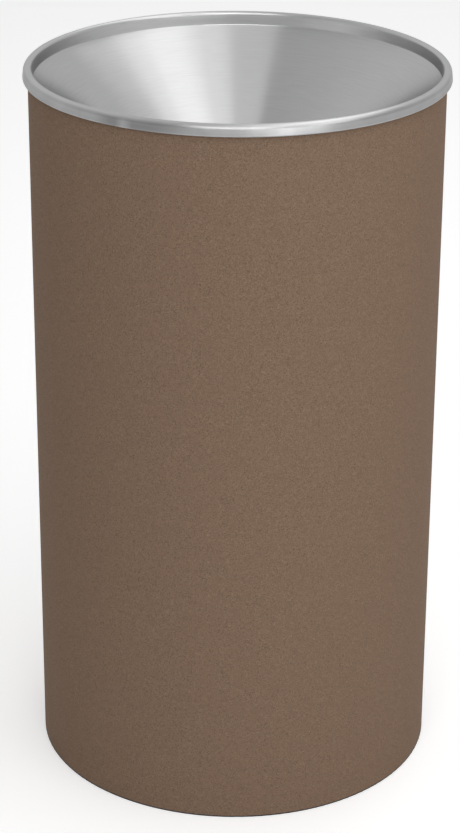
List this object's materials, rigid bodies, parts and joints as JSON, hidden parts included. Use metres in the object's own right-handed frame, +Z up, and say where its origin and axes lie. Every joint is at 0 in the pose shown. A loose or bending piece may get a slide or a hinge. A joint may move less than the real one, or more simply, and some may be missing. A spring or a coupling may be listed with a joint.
{
  "type": "trash receptacle",
  "caption": "Straight round sheet-steel trash receptacle with a lift-off spun aluminium funnel top and a lift-out galvanised liner with folding grips.",
  "frame": {"origin": "on the floor, on the can's axis", "axes": "+Z up along the can's axis; -Y to the front; the sheet seams are at the back (+Y) and the liner's grips at +X and -X"},
  "size_m": [0.3907, 0.3908, 0.68],
  "materials": {
    "painted_steel": "brown textured powder coat, fine mottled grain",
    "spun_aluminium": "satin, with fine turned lines round the axis",
    "galvanised_steel": "hot-dipped zinc with soft spangle",
    "black_vinyl": "matt extruded vinyl",
    "zinc_plated_wire": "bright zinc plate on drawn wire",
    "zinc_plated_steel": "zinc plate on pressed steel",
    "grip_plastic": "fine moulded grain"
  },
  "bodies": {
    "can": {"body_shell": "painted_steel", "base_pan": "galvanised_steel", "floor_ring": "black_vinyl", "mouth_trim": "black_vinyl"},
    "liner": {"liner_barrel": "galvanised_steel", "liner_floor": "galvanised_steel", "liner_rim_wire": "zinc_plated_wire", "grip_lugs": "zinc_plated_steel", "lug_rivets": "zinc_plated_steel"},
    "funnel_top": {"funnel": "spun_aluminium"},
    "right_handle": {"right_grip": "zinc_plated_wire", "right_grip_sleeve": "grip_plastic"},
    "left_handle": {"left_grip": "zinc_plated_wire", "left_grip_sleeve": "grip_plastic"}
  },
  "joints": [
    {"name": "liner_lift", "type": "slide", "parent": "can", "child": "liner", "axis": [0, 0, 1], "range_m": [0, 0.68]},
    {"name": "funnel_lift", "type": "slide", "parent": "liner", "child": "funnel_top", "axis": [0, 0, 1], "range_m": [0, 0.16]},
    {"name": "right_grip_swing", "type": "hinge", "parent": "liner", "child": "right_handle", "pos_m": [0.15754, 0, 0.553], "axis": [0, 1, 0], "range_deg": [0, 175]},
    {"name": "left_grip_swing", "type": "hinge", "parent": "liner", "child": "left_handle", "pos_m": [-0.15754, 0, 0.553], "axis": [0, -1, 0], "range_deg": [0, 175]}
  ]
}
